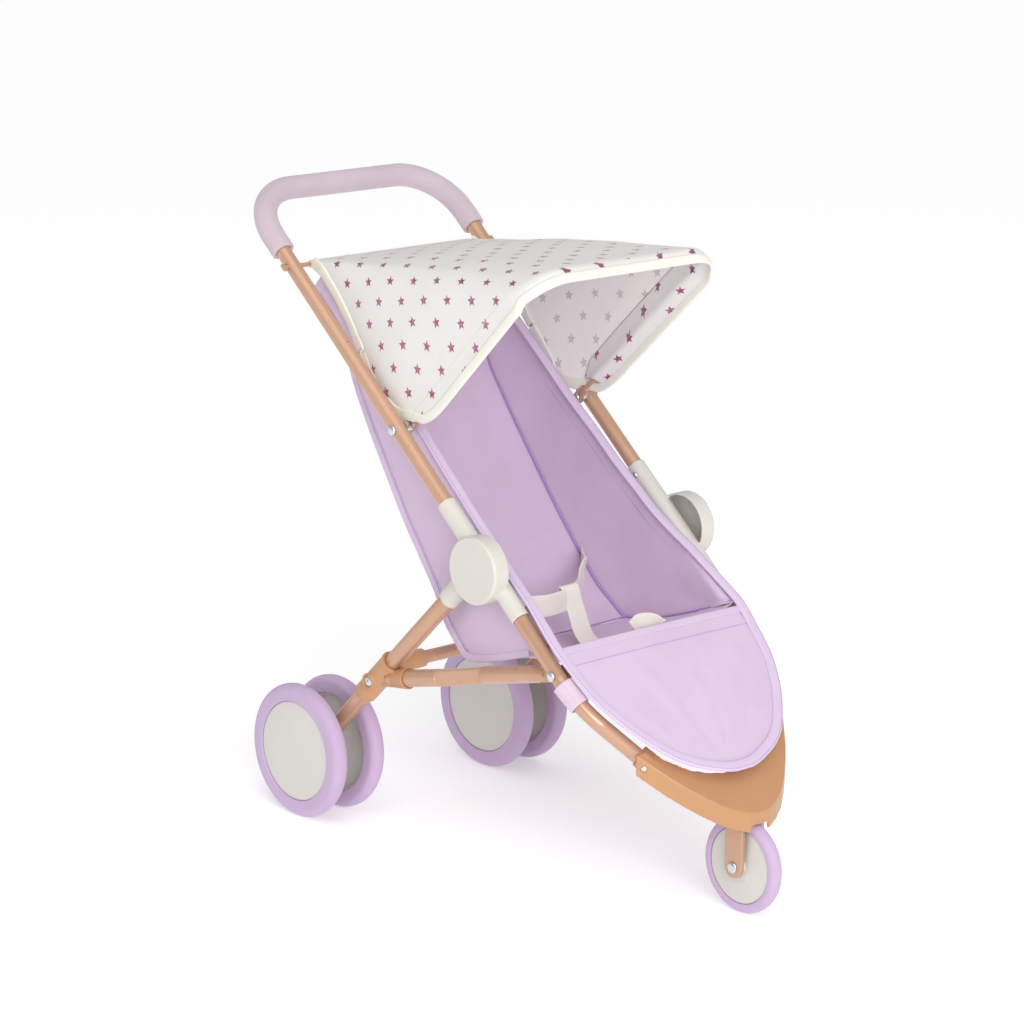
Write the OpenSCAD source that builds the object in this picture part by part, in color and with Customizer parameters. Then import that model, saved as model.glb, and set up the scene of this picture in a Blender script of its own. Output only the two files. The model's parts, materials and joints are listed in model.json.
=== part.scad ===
// Doll stroller: three-wheeled tube frame, sling seat with foot pouch, folding canopy.
// Millimetres. +Z is up, the stroller faces -Y, the floor is z = 0.

/* [Frame] */
// Outer diameter of the main tubes
tube_d = 14; // [12:0.5:18]
// Outer diameter of the rear legs and braces
leg_d = 16; // [14:0.5:20]
// Wall thickness of every tube
tube_wall = 1.4; // [0.8:0.1:2]
// Distance of each main tube from the middle plane
tube_x = 115.5; // [100:0.5:130]
// Angle of the main tubes above the floor
slope = 39.7; // [34:0.1:45]
// Height of the side hubs
hub_z = 281.9; // [260:0.1:300]
// Angle of the rear legs above the floor
leg_slope = 45.4; // [40:0.1:50]
// How far the rear legs sit behind the hub centre
leg_shift = 7.6; // [0:0.1:12]

/* [Handle] */
// Length of tube from the hub to the start of the handle bend
handle_s = 387.3; // [340:0.1:420]
// Radius of the handle bends
handle_r = 52.6; // [40:0.1:70]
// Outer diameter of the foam grip
grip_d = 21.6; // [18:0.1:26]
// Straight length of grip below each bend
grip_leg = 19.4; // [5:0.1:40]

/* [Hubs] */
// Diameter of the round side hubs
hub_d = 60.4; // [50:0.1:70]
// Outer diameter of the hub sleeves
sleeve_d = 17.2; // [16:0.1:22]
// Length of the sleeve towards the handle
sleeve_up = 72.5; // [50:0.5:90]
// Length of the sleeve towards the front wheel
sleeve_down = 57; // [40:0.5:80]
// Length of the rear leg sleeve
sleeve_leg = 63; // [45:0.5:80]

/* [Rear undercarriage] */
// Place of the bracket bolt along the rear leg
bolt_l = 198; // [180:1:220]
// Place of the brace bolt along the main tube
brace_s = 117.8; // [100:0.1:135]
// Diameter of the cross bar
cross_d = 12; // [10:0.5:16]
// Place of the cross bar along the rear leg
cross_l = 174; // [165:1:190]
// Length of the rear legs to the axle
axle_l = 315.7; // [290:0.1:340]

/* [Wheels] */
// Radius of the rear tyres
rear_r = 62.5; // [55:0.5:70]
// Visible disc radius of the rear wheels
rear_disc_r = 46.8; // [38:0.1:52]
// Width of the rear tyres
rear_w = 16; // [12:0.5:20]
// Distance of each twin wheel from its leg
twin_x = 22; // [19:0.5:28]
// Radius of the front tyre
front_r = 42.9; // [38:0.1:50]
// Visible disc radius of the front wheel
front_disc_r = 34.4; // [28:0.1:38]
// Width of the front tyre
front_w = 12.8; // [10:0.1:18]
// Distance of the front axle ahead of the hubs
front_ahead = 207.9; // [190:0.1:225]

/* [Canopy] */
// Place of the rear rod along the main tube
rod_s = 350; // [330:1:365]
// Place of the bow pivots along the main tube
bow_s = 157; // [140:1:175]
// Height of the bow above its pivots
bow_h = 231; // [200:1:250]
// Forward lean of the open bow
bow_lean = 45; // [30:1:60]
// Diameter of the rods
rod_d = 4.2; // [3:0.1:6]
// Half width of the canopy at the bow
canopy_x = 106; // [95:0.5:112]

/* [Fabric] */
// Thickness of the seat fabric with its lining
seat_t = 2; // [1:0.1:4]
// Thickness of the canopy fabric
canopy_t = 1.2; // [0.8:0.1:3]
// Width of the harness webbing
web_w = 20; // [15:0.5:25]
// Thickness of the harness webbing
web_t = 1.6; // [1:0.1:3]

/* [Hidden] */
$fn = 48;

tube_r = tube_d / 2;
leg_r = leg_d / 2;
rod_r = rod_d / 2;
fit = 0.08;
// Bends are a hair thicker than the straights and lap over them
lap = 0.6;
swell = 0.02;
cs = cos(slope);
ss = sin(slope);
cl = cos(leg_slope);
sl = sin(leg_slope);
// Rearmost and foremost points, measured from the hub, centre the part on y = 0
rear_y = (handle_s + handle_r) * cs + grip_d / 2;
front_y = -front_ahead - front_r;
hub_y = -(rear_y + front_y) / 2;
front_axle_y = hub_y - front_ahead;

// A point on the frame plane: s down the main tube, n standing off it
function fy(s, n = 0) = hub_y - s * cs - n * ss;
function fz(s, n = 0) = hub_z - s * ss + n * cs;
function fp(x, s, n = 0) = [x, fy(s, n), fz(s, n)];
// A point measured from the hub
function hp(x, y, z) = [x, hub_y + y, hub_z + z];
// Points on the rear leg
function leg_y(l) = hub_y + leg_shift * sl + l * cl;
function leg_z(l) = hub_z + leg_shift * cl - l * sl;

brace_dy = leg_y(bolt_l) - fy(brace_s);
brace_dz = fz(brace_s) - leg_z(bolt_l);
brace_len = norm([brace_dy, brace_dz]);
brace_slope = atan2(brace_dz, brace_dy);
// The brace shifts inward by this much to lie beside the main tube
brace_in = 9.4;

paint = [0.83, 0.66, 0.54];
moulding = [0.80, 0.61, 0.43];
white = [0.92, 0.91, 0.88];
chrome = [0.8, 0.81, 0.83];
foam = [0.85, 0.79, 0.82];
lilac = [0.84, 0.74, 0.87];
tyre_lilac = [0.8, 0.69, 0.84];
cream = [0.91, 0.9, 0.88];
webbing = [0.9, 0.86, 0.83];

// Main tube frame: z runs down the tube, y stands off it
module along(x = 0) {
  translate([x, hub_y, hub_z]) rotate([90 + slope, 0, 0]) children();
}

// Rear leg frame: z runs down the leg
module along_leg(x = 0) {
  translate([x, hub_y, hub_z]) rotate([-(90 + leg_slope), 0, 0])
    translate([0, -leg_shift, 0]) children();
}

// Brace frame: z runs from the bracket bolt to the brace bolt
module along_brace(x = 0) {
  translate([x, leg_y(bolt_l), leg_z(bolt_l)]) rotate([90 - brace_slope, 0, 0]) children();
}

// Canopy bow frame: z runs up the open bow from its pivots
module along_bow() {
  translate([0, fy(-bow_s), fz(-bow_s)]) rotate([bow_lean, 0, 0]) children();
}

module pipe(r, h, inner) {
  difference() {
    cylinder(r = r, h = h);
    translate([0, 0, -1]) cylinder(r = inner, h = h + 2);
  }
}

// A cylinder lying along x from x0 to x1
module bar_x(r, x0, x1) {
  translate([min(x0, x1), 0, 0]) rotate([0, 90, 0]) cylinder(r = r, h = abs(x1 - x0));
}

// A domed fastener head standing along +x from x0
module dome_x(r, x0, h) {
  translate([x0, 0, 0]) rotate([0, 90, 0])
    rotate_extrude()
      polygon([[0, 0], [r, 0], [r, h * 0.35], [r * 0.85, h * 0.72], [r * 0.5, h * 0.95], [0, h]]);
}

// A thin closed sheet: rows of points, and the same rows moved by off
module sheet(rows, off, flip = false) {
  nr = len(rows);
  nc = len(rows[0]);
  m = nr * nc;
  pts = concat([for (r = rows) for (p = r) p - off / 2], [for (r = rows) for (p = r) p + off / 2]);
  low = [for (i = [0:nr - 2]) for (j = [0:nc - 2]) for (k = [0:1])
    let (a = i * nc + j, b = a + 1, c = a + nc + 1, d = a + nc) k == 0 ? [a, b, c] : [a, c, d]];
  high = [for (f = low) [f[2] + m, f[1] + m, f[0] + m]];
  e0 = [for (j = [0:nc - 2]) for (k = [0:1])
    let (a = j, b = j + 1) k == 0 ? [b, a, a + m] : [b, a + m, b + m]];
  e1 = [for (j = [0:nc - 2]) for (k = [0:1])
    let (a = (nr - 1) * nc + j, b = a + 1) k == 0 ? [a, b, b + m] : [a, b + m, a + m]];
  e2 = [for (i = [0:nr - 2]) for (k = [0:1])
    let (a = i * nc, b = a + nc) k == 0 ? [a, b, b + m] : [a, b + m, a + m]];
  e3 = [for (i = [0:nr - 2]) for (k = [0:1])
    let (a = i * nc + nc - 1, b = a + nc) k == 0 ? [b, a, a + m] : [b, a + m, b + m]];
  all = concat(low, high, e0, e1, e2, e3);
  polyhedron(points = pts, faces = flip ? [for (f = all) [f[2], f[1], f[0]]] : all);
}

// Handle: a round tube bent into a U, and the foam grip over it

module u_bar(r, leg, more = swell) {
  for (side = [-1, 1]) {
    along(side * tube_x) translate([0, 0, -handle_s - lap]) cylinder(r = r, h = leg + lap);
    along(side * (tube_x - handle_r)) translate([0, 0, -handle_s]) rotate([90, 0, 0])
      rotate([0, 0, side > 0 ? -90 : 180]) rotate_extrude(angle = 90)
        translate([handle_r, 0]) circle(r = r + more);
  }
  along() translate([-(tube_x - handle_r) - lap, 0, -handle_s - handle_r]) rotate([0, 90, 0])
    cylinder(r = r, h = 2 * (tube_x - handle_r + lap));
}

module handle_tube() {
  color(paint) difference() {
    u_bar(tube_r, handle_s - 3);
    u_bar(tube_r - tube_wall, handle_s - 2);
    along() translate([0, 0, -rod_s]) bar_x(rod_r + fit, -tube_x - 20, tube_x + 20);
    for (side = [-1, 1]) {
      along() translate([0, 0, -bow_s]) bar_x(2.05, side * (tube_x - 12), side * (tube_x + 12));
      along() translate([0, 0, -62]) bar_x(1.6, side * (tube_x - 12), side * (tube_x - 3));
    }
  }
}

module handle_grip() {
  color(foam) difference() {
    u_bar(grip_d / 2, grip_leg, 0.1);
    u_bar(tube_r + fit, grip_leg + 1, 0.03);
  }
}

// Side hubs: an open-backed round cap with three tube sleeves, in one moulding

hub_face_x = tube_x + 19;
hub_back_x = tube_x + 2.6;
screw_in = tube_x - sleeve_d / 2;

module hub(side) {
  color(white) difference() {
    union() {
      translate([0, hub_y, hub_z]) bar_x(hub_d / 2, side * hub_back_x, side * (hub_face_x - 1.2));
      translate([0, hub_y, hub_z])
        bar_x(hub_d / 2 - 1.2, side * (hub_face_x - 1.2), side * hub_face_x);
      along(side * tube_x) translate([0, 0, -sleeve_up])
        cylinder(r = sleeve_d / 2, h = sleeve_up + sleeve_down);
      along_leg(side * tube_x) translate([0, 0, 8])
        cylinder(r = sleeve_d / 2 + 1.2, h = sleeve_leg - 8);
    }
    difference() {
      translate([0, hub_y, hub_z])
        bar_x(hub_d / 2 - 2.2, side * (hub_back_x - 1), side * (hub_face_x - 2.6));
      along(side * tube_x) translate([0, 0, -sleeve_up])
        cylinder(r = sleeve_d / 2, h = sleeve_up + sleeve_down);
      along_leg(side * tube_x) translate([0, 0, 8])
        cylinder(r = sleeve_d / 2 + 1.2, h = sleeve_leg - 8);
    }
    along(side * tube_x) translate([0, 0, -sleeve_up - 1])
      cylinder(r = tube_r + fit, h = sleeve_up + sleeve_down + 2);
    along_leg(side * tube_x) translate([0, 0, 17]) cylinder(r = leg_r + fit, h = sleeve_leg);
    along() translate([0, 0, -62]) bar_x(1.6, side * (tube_x - 12), side * (tube_x - 3));
    along() translate([0, 0, 47]) bar_x(1.6, side * (tube_x - 12), side * (tube_x - 3));
  }
}

module hub_screws(side) {
  for (s = [-62, 47]) color(chrome) along() translate([0, 0, s]) {
    bar_x(1.5, side * (screw_in - 0.6), side * (screw_in + 4.5));
    scale([side, 1, 1]) mirror([1, 0, 0]) dome_x(3.1, -(screw_in - 0.05), 1.8);
  }
}

module hub_left() {
  hub(1);
}

module hub_right() {
  hub(-1);
}

module hub_screws_left() {
  hub_screws(1);
}

module hub_screws_right() {
  hub_screws(-1);
}

// Front tubes: straight past the brace bolt, then bent inward to the nose

bend_s = 121;
bend_r = 108;
bend_a = 30;
bend_tilt = 9;
tube_end = 62;

module bent_bar(side, r, from, end) {
  along(side * tube_x) rotate([0, 0, side * bend_tilt]) {
    translate([0, 0, from]) cylinder(r = r, h = bend_s + lap - from);
    translate([-side * bend_r, 0, bend_s]) rotate([90, 0, 0])
      rotate([0, 0, side > 0 ? 0 : 180 - bend_a]) rotate_extrude(angle = bend_a)
        translate([bend_r, 0]) circle(r = r + swell);
    translate([-side * bend_r * (1 - cos(bend_a)), 0, bend_s + bend_r * sin(bend_a)])
      rotate([0, -side * bend_a, 0]) translate([0, 0, -lap]) cylinder(r = r, h = end + lap);
  }
}

module front_tube(side) {
  color(paint) difference() {
    bent_bar(side, tube_r, 3, tube_end);
    bent_bar(side, tube_r - tube_wall, 2, tube_end + 1);
    along() translate([0, 0, brace_s]) bar_x(2.1, side * (tube_x - 12), side * (tube_x + 12));
    along() translate([0, 0, 47]) bar_x(1.6, side * (tube_x - 12), side * (tube_x - 3));
  }
}

module front_tube_left() {
  front_tube(1);
}

module front_tube_right() {
  front_tube(-1);
}

// Rear legs, brackets, cross bar and braces

module rear_leg(side) {
  color(paint) difference() {
    along_leg(side * tube_x) translate([0, 0, 18])
      pipe(leg_r, axle_l + 8 - 18, leg_r - tube_wall);
    translate([0, leg_y(axle_l), rear_r])
      bar_x(3.05, side * (tube_x - 12), side * (tube_x + 12));
    translate([0, leg_y(bolt_l), leg_z(bolt_l)])
      bar_x(2.1, side * (tube_x - 2), side * (tube_x + 14));
  }
}

module rear_leg_left() {
  rear_leg(1);
}

module rear_leg_right() {
  rear_leg(-1);
}

module leg_bracket(side) {
  color(moulding) difference() {
    union() {
      along_leg(side * tube_x) translate([0, 0, bolt_l - 30]) cylinder(r = 10.7, h = 53);
      along_leg(side * tube_x) translate([0, 0, bolt_l - 30]) cylinder(r = 11.3, h = 2);
      translate([0, leg_y(bolt_l), leg_z(bolt_l)])
        bar_x(7.6, side * (tube_x + 4), side * (tube_x + 12.6));
      along_brace(side * tube_x) translate([0, 0, 4]) cylinder(r1 = 6.5, r2 = 10, h = 40.6);
      translate([0, leg_y(cross_l), leg_z(cross_l)])
        bar_x(8.6, side * (tube_x - 4), side * (tube_x - 38.5));
    }
    along_leg(side * tube_x) translate([0, 0, bolt_l - 35]) cylinder(r = leg_r + fit, h = 60);
    along_brace(side * tube_x) translate([0, 0, 19]) cylinder(r = leg_r + fit, h = 40);
    translate([0, leg_y(cross_l), leg_z(cross_l)])
      bar_x(cross_d / 2 + fit, side * (tube_x - 14), side * (tube_x - 40));
    translate([0, leg_y(bolt_l), leg_z(bolt_l)]) {
      bar_x(5.4, side * (tube_x + 10), side * (tube_x + 14));
      bar_x(2.1, side * (tube_x), side * (tube_x + 14));
    }
  }
}

module leg_bracket_left() {
  leg_bracket(1);
}

module leg_bracket_right() {
  leg_bracket(-1);
}

module bracket_bolt(side) {
  color(chrome) translate([0, leg_y(bolt_l), leg_z(bolt_l)]) {
    bar_x(2.05, side * (tube_x + 1), side * (tube_x + 10.2));
    scale([side, 1, 1]) dome_x(5.2, tube_x + 10.05, 2.4);
  }
}

module bracket_bolt_left() {
  bracket_bolt(1);
}

module bracket_bolt_right() {
  bracket_bolt(-1);
}

module rear_cross_bar() {
  half = tube_x - 15;
  color(paint) translate([-half, leg_y(cross_l), leg_z(cross_l)]) rotate([0, 90, 0])
    pipe(cross_d / 2, 2 * half, cross_d / 2 - tube_wall);
}

// The brace is round at the bracket, steps inward, and ends in a flat bolted tab
module brace(side) {
  step0 = 88;
  step1 = 138;
  flat0 = 222;
  xi = tube_x - brace_in;
  step_plan = [[tube_x - 6, step0 - 1], [tube_x + 6, step0 - 1], [tube_x + 6, step0 + 4],
    [xi + 6, step1], [xi + 6, step1 + 1], [xi - 6, step1 + 1], [xi - 6, step1 - 4]];
  color(paint) difference() {
    union() {
      along_brace(side * tube_x) translate([0, 0, 19.5]) cylinder(r = leg_r, h = step0 - 19.5);
      along_brace() translate([0, 7.2, 0]) rotate([90, 0, 0]) linear_extrude(14.4)
        polygon([for (p = step_plan) [side * p[0], p[1]]]);
      along_brace(side * xi) translate([0, 0, step1]) cylinder(r = leg_r, h = flat0 - 14 - step1);
      along_brace(side * xi) translate([0, 0, flat0 - 14])
        cylinder(r1 = leg_r, r2 = 5, h = 10);
      along_brace() translate([side * (xi + 0.2) - 2, -7.5, flat0 - 9])
        cube([4, 15, brace_len - flat0 + 9]);
      along_brace() translate([0, 0, brace_len])
        bar_x(7.5, side * (xi + 0.2) - 2, side * (xi + 0.2) + 2);
    }
    along_brace() translate([0, 0, brace_len])
      bar_x(2.1, side * (xi - 12), side * (xi + 12));
    along(side * tube_x) translate([0, 0, brace_s - 60]) cylinder(r = tube_r + fit, h = 90);
    along_leg(side * tube_x) translate([0, 0, bolt_l - 30]) cylinder(r = leg_r + 0.3, h = 60);
  }
}

module brace_left() {
  brace(1);
}

module brace_right() {
  brace(-1);
}

module brace_bolt(side) {
  color(chrome) along() translate([0, 0, brace_s]) {
    bar_x(2.05, side * (tube_x - brace_in - 2.2), side * (tube_x + tube_r + 0.6));
    scale([side, 1, 1]) dome_x(4.4, tube_x + tube_r + 0.05, 2.6);
    scale([side, 1, 1]) mirror([1, 0, 0]) dome_x(3.8, -(tube_x - brace_in - 1.85), 3);
  }
}

module brace_bolt_left() {
  brace_bolt(1);
}

module brace_bolt_right() {
  brace_bolt(-1);
}

// Nose: a V-shaped hollow cover that takes both front tubes and the fork

nose_out = [[90.5, -163.5], [81.5, -174], [72.5, -184.8], [62, -195.1], [50, -205.5],
  [37, -215.2], [24, -221.7], [12, -226], [0, -227.1]];
nose_in = [[74, -158.2], [65.5, -171], [46, -183.5], [30, -188.6], [14, -191.8], [0, -192.5]];
nose_top = 2;
nose_low = -12.5;

function mirrored(list) = [for (i = [len(list) - 2:-1:0]) [-list[i][0], list[i][1]]];
function nose_plan(grow) = let (
    o = [for (p = nose_out) p - grow * [p[0] > 5 ? 0.75 : 0, p[0] > 5 ? -0.8 : -1]],
    i = [for (p = nose_in) p - grow * [p[0] > 5 ? -0.45 : 0, p[0] > 5 ? 0.9 : 1]])
  concat(o, mirrored(o), [for (k = [0:len(i) - 1]) [-i[k][0], i[k][1]]],
    [for (k = [len(i) - 2:-1:0]) i[k]]);

// A body with upright walls, cut between two planes parallel to the frame
module nose_body(grow, n0, n1) {
  intersection() {
    translate([0, hub_y, 0]) linear_extrude(hub_z) polygon(nose_plan(grow));
    along() translate([-130, n0, 150]) cube([260, n1 - n0, 180]);
  }
}

module nose_tube_axis(side, from) {
  along(side * tube_x) translate([0, 0, bend_s]) rotate([0, 0, side * bend_tilt])
    translate([-side * bend_r * (1 - cos(bend_a)), 0, bend_r * sin(bend_a)])
      rotate([0, -side * bend_a, 0]) translate([0, 0, from]) children();
}

module nose_cover() {
  color(moulding) difference() {
    union() {
      nose_body(0, nose_low, nose_top);
      for (side = [-1, 1]) nose_tube_axis(side, 40) cylinder(r = 8.9, h = 26);
    }
    difference() {
      nose_body(2.2, nose_low - 1, nose_top - 2.6);
      for (side = [-1, 1]) nose_tube_axis(side, 40) cylinder(r = 8.9, h = 26);
    }
    for (side = [-1, 1]) nose_tube_axis(side, 30) cylinder(r = tube_r + fit, h = 34);
    translate([0, front_axle_y, front_r]) bar_x(front_r + 2.6, -9.2, 9.2);
    for (side = [-1, 1]) nose_tube_axis(side, 49) bar_x(3, side * 8.9, side * 30);
  }
}

module nose_screws() {
  for (side = [-1, 1]) color(chrome) nose_tube_axis(side, 49)
    scale([side, 1, 1]) dome_x(2.9, 8.95, 1.6);
}

// Front fork, wheel and axle

module front_fork() {
  reach = 10.6;
  top = function(y) hub_z + (nose_top - 3.4 + ss * (y - hub_y)) / cs;
  blade = concat(
    [[front_axle_y + reach, top(front_axle_y + reach)],
     [front_axle_y - reach, top(front_axle_y - reach)]],
    [for (a = [180:12:360]) [front_axle_y + 10 * cos(a), front_r + 10 * sin(a)]]);
  color(moulding) difference() {
    union() {
      for (side = [-1, 1]) translate([side > 0 ? 9 : -13.5, 0, 0])
        rotate([90, 0, 90]) linear_extrude(4.5) polygon(blade);
      along() translate([-13.5, -8.4, 262]) cube([27, 7, 20]);
    }
    translate([0, front_axle_y, front_r]) bar_x(2.55, -20, 20);
  }
}

module front_axle() {
  color(chrome) translate([0, front_axle_y, front_r]) {
    bar_x(2.5, -13.8, 13.8);
    for (side = [-1, 1]) scale([side, 1, 1]) dome_x(5.3, 13.55, 2.4);
  }
}

// Profiles turned about the wheel's axle; the second coordinate runs outward from the leg
function tyre_profile(r, lip, w) = let (h = w / 2, seat = lip + 2.8, k = h * 0.56) concat(
  [[lip, h - 0.6], [lip + 0.6, h], [r - h * 0.85, h]],
  [for (a = [80:-10:-80]) [r - h * 0.85 + h * 0.85 * cos(a), h * sin(a)]],
  [[r - h * 0.85, -h], [lip + 0.6, -h], [lip, -h + 0.6], [lip, -k], [seat, -k], [seat, k], [lip, k]]);

module turned_x(side, x, y, z) {
  translate([x, y, z]) scale([side, 1, 1]) rotate([0, 90, 0]) rotate_extrude() children();
}

module front_rim() {
  e = front_w * 0.28 - 0.05;
  p = front_disc_r - 0.1;
  color(white) turned_x(1, 0, front_axle_y, front_r) polygon([[2.58, -8.5], [7, -8.5],
    [7.4, -5.2], [p - 1, -5.2], [p, -4.4], [p, -e], [p + 2.8, -e], [p + 2.8, e], [p, e],
    [p, 4.4], [p - 1, 5.2], [7.4, 5.2], [7, 8.5], [2.58, 8.5]]);
}

module front_tyre() {
  color(tyre_lilac) turned_x(1, 0, front_axle_y, front_r)
    polygon(tyre_profile(front_r, front_disc_r, front_w));
}

// Rear wheels run in pairs, one on each side of a leg

axle_y = leg_y(axle_l);
axle_half = twin_x + 1;

module rear_axle(side) {
  color(chrome) translate([0, axle_y, rear_r])
    bar_x(3, side * (tube_x - axle_half), side * (tube_x + axle_half));
}

module rear_axle_left() {
  rear_axle(1);
}

module rear_axle_right() {
  rear_axle(-1);
}

module rear_rim(side, out) {
  e = rear_w * 0.28 - 0.05;
  p = rear_disc_r - 0.1;
  back = 8.9 - twin_x;
  color(white) turned_x(side * out, side * (tube_x + out * twin_x), axle_y, rear_r)
    polygon([[3.07, back], [8, back], [8.6, 2], [p - 4, 2], [p - 2, -e], [p + 2.8, -e],
      [p + 2.8, e], [p, e], [p, 6], [p - 1, 6.8], [0, 6.8], [0, 1.6], [3.07, 1.6]]);
}

module rear_tyre(side, out) {
  color(tyre_lilac) turned_x(side * out, side * (tube_x + out * twin_x), axle_y, rear_r)
    polygon(tyre_profile(rear_r, rear_disc_r, rear_w));
}

module rear_rim_left_outer() {
  rear_rim(1, 1);
}

module rear_rim_left_inner() {
  rear_rim(1, -1);
}

module rear_rim_right_inner() {
  rear_rim(-1, -1);
}

module rear_rim_right_outer() {
  rear_rim(-1, 1);
}

module rear_tyre_left_outer() {
  rear_tyre(1, 1);
}

module rear_tyre_left_inner() {
  rear_tyre(1, -1);
}

module rear_tyre_right_inner() {
  rear_tyre(-1, -1);
}

module rear_tyre_right_outer() {
  rear_tyre(-1, 1);
}

// Canopy: fixed rear rod, folding bow, top panel and two side wings

bow_x = tube_x - 13;
bow_corner = 36;
bow_top = 110;
pad_t = 2.4;

module canopy_rear_rod() {
  color(paint) along() translate([0, 0, -rod_s]) {
    bar_x(rod_r, -tube_x - 8.4, tube_x + 8.4);
    for (side = [-1, 1]) translate([side * (tube_x + 10.2) - 2.2, -1.2, -3.4])
      cube([4.4, 2.4, 6.8]);
  }
}

module canopy_bow() {
  leg_rise = bow_h - bow_corner - 12;
  bow_splay = atan((bow_top - bow_x) / leg_rise);
  bow_leg = norm([bow_top - bow_x, leg_rise]);
  color(paint) difference() {
    along_bow() {
      for (side = [-1, 1]) {
        bar_x(4.8, side * bow_x - pad_t / 2, side * bow_x + pad_t / 2);
        translate([side * bow_x - pad_t / 2, -4.2, 0]) cube([pad_t, 8.4, 13]);
        translate([side * bow_x, 0, 12]) rotate([0, side * bow_splay, 0])
          cylinder(r = rod_r, h = bow_leg);
        translate([side * bow_top, 0, bow_h - bow_corner]) sphere(r = rod_r + swell);
        translate([side * (bow_top - bow_corner), 0, bow_h - bow_corner]) rotate([90, 0, 0])
          rotate([0, 0, side > 0 ? 0 : 90]) rotate_extrude(angle = 90)
            translate([bow_corner, 0]) circle(r = rod_r);
      }
      translate([0, 0, bow_h]) bar_x(rod_r, -(bow_top - bow_corner), bow_top - bow_corner);
    }
    along_bow() bar_x(2.08, -tube_x, tube_x);
  }
}

module bow_bolt(side) {
  color(chrome) along() translate([0, 0, -bow_s]) {
    bar_x(2, side * (bow_x - 2), side * (tube_x + tube_r + 0.6));
    scale([side, 1, 1]) dome_x(4.6, tube_x + tube_r + 0.05, 2.6);
    scale([side, 1, 1]) mirror([1, 0, 0]) dome_x(3.9, -(bow_x - pad_t / 2 - 0.4), 2.6);
  }
}

module bow_bolt_left() {
  bow_bolt(1);
}

module bow_bolt_right() {
  bow_bolt(-1);
}

module bow_spacer(side) {
  color(chrome) difference() {
    along() translate([0, 0, -bow_s])
      bar_x(6.2, side * (bow_x + pad_t / 2 + 0.4), side * (tube_x - tube_r + 1.6));
    along() translate([0, 0, -bow_s]) bar_x(2.05, side * (bow_x - 5), side * (tube_x + 5));
    along(side * tube_x) translate([0, 0, -bow_s - 20]) cylinder(r = tube_r + fit, h = 40);
  }
}

module bow_spacer_left() {
  bow_spacer(1);
}

module bow_spacer_right() {
  bow_spacer(-1);
}

// The canopy's side profile runs from the rear rod over to the bow
rod_p = [fy(-rod_s), fz(-rod_s)];
bar_p = [fy(-bow_s) - bow_h * sin(bow_lean), fz(-bow_s) + bow_h * cos(bow_lean)];
crown_rise = 9;
function crown(t, up) = [rod_p[0] + (bar_p[0] - rod_p[0]) * t,
  rod_p[1] + (bar_p[1] - rod_p[1]) * t + up + crown_rise * 4 * t * (1 - t)];

module canopy_top() {
  under = [for (i = [0:12]) crown(i / 12, 2.5)];
  over = [for (i = [12:-1:0]) crown(i / 12, 2.5 + canopy_t)];
  hem_x = bow_top - bow_corner - 1.5;
  color(cream) intersection() {
    union() {
      translate([-canopy_x, 0, 0]) rotate([90, 0, 90]) linear_extrude(2 * canopy_x)
        polygon(concat(under, over));
      translate([-canopy_x, rod_p[0], rod_p[1]]) rotate([0, 90, 0])
        pipe(2.5 + canopy_t, 2 * canopy_x, 2.5);
      translate([-hem_x, bar_p[0], bar_p[1]]) rotate([0, 90, 0])
        pipe(2.5 + canopy_t, 2 * hem_x, 2.5);
    }
    linear_extrude(700) polygon([[-95.5, rod_p[0] + 6], [95.5, rod_p[0] + 6],
      [canopy_x, bar_p[0] - 6], [-canopy_x, bar_p[0] - 6]]);
  }
}

// A wing hangs from the top panel's edge down to the bow pivot, inside the bow
wing_tip = 34;

module canopy_wing(side) {
  p = [fy(-bow_s), fz(-bow_s)];
  tip_r = [p[0] + 11, p[1] + 24];
  tip_f = [p[0] - 17, p[1] + 27];
  x0 = 93.5;
  x1 = bow_x - rod_r - 1.6;
  edge = [for (i = [0:6]) let (t = i / 6) [x0 + (x1 - x0) * t, crown(0.03 + t * 0.925, 1.6)]];
  hem = [for (i = [0:6]) let (t = i / 6) i == 0 ? [x0, crown(0.06, -1.6)]
    : [x0 + (x1 - x0) * min(1, t * 1.4), [tip_r[0] + (tip_f[0] - tip_r[0]) * t,
      tip_r[1] + (tip_f[1] - tip_r[1]) * t - 9 * sin(180 * t)]]];
  rows = [for (i = [0:6]) [for (k = [0:4]) let (f = k / 4)
    [side * (edge[i][0] + (hem[i][0] - edge[i][0]) * f),
     edge[i][1][0] + (hem[i][1][0] - edge[i][1][0]) * f,
     edge[i][1][1] + (hem[i][1][1] - edge[i][1][1]) * f]]];
  color(cream) sheet(rows, [canopy_t, 0, 0], side < 0);
}

module canopy_wing_left() {
  canopy_wing(1);
}

module canopy_wing_right() {
  canopy_wing(-1);
}

// Seat: back panel, two sides, bottom, foot pouch, front panel and edge binding

back_seam = [[81, 259.5, 210], [80, 238, 168], [80, 219.2, 122.1], [82, 194.5, 84],
  [84, 168.3, 48.1], [86, 142.5, 13.7], [87, 117.9, -16.4], [89, 91.2, -47.9],
  [92, 77.5, -66.4], [95, 57.9, -82.9], [96, 43.5, -93]];
low_seam = [[98, 5, -85], [102, -43.5, -68], [106, -71.5, -56], [110, -83, -50.5]];
front_edge = [[90, -335, 1], [91, -291, 0], [92, -247, 0], [94, -203, 0], [95, -157, 0],
  [96, -115, 0], [97, -80, 0], [99, -45, 1], [100, -20, 2], [103, 5, 4], [106, 28, 7],
  [108, 50, 9.5], [111, 72, 11], [113, 88, 12], [114, 99, 12.5]];

module seat_back() {
  rows = [for (p = back_seam) [for (u = [-1, -0.5, 0, 0.5, 1])
    hp(u * (p[0] - seat_t), p[1] + 4 * (1 - u * u), p[2] - 3 * (1 - u * u))]];
  color(lilac) sheet(rows, [0, -seat_t * 0.81, seat_t * 0.58], true);
}

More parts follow.
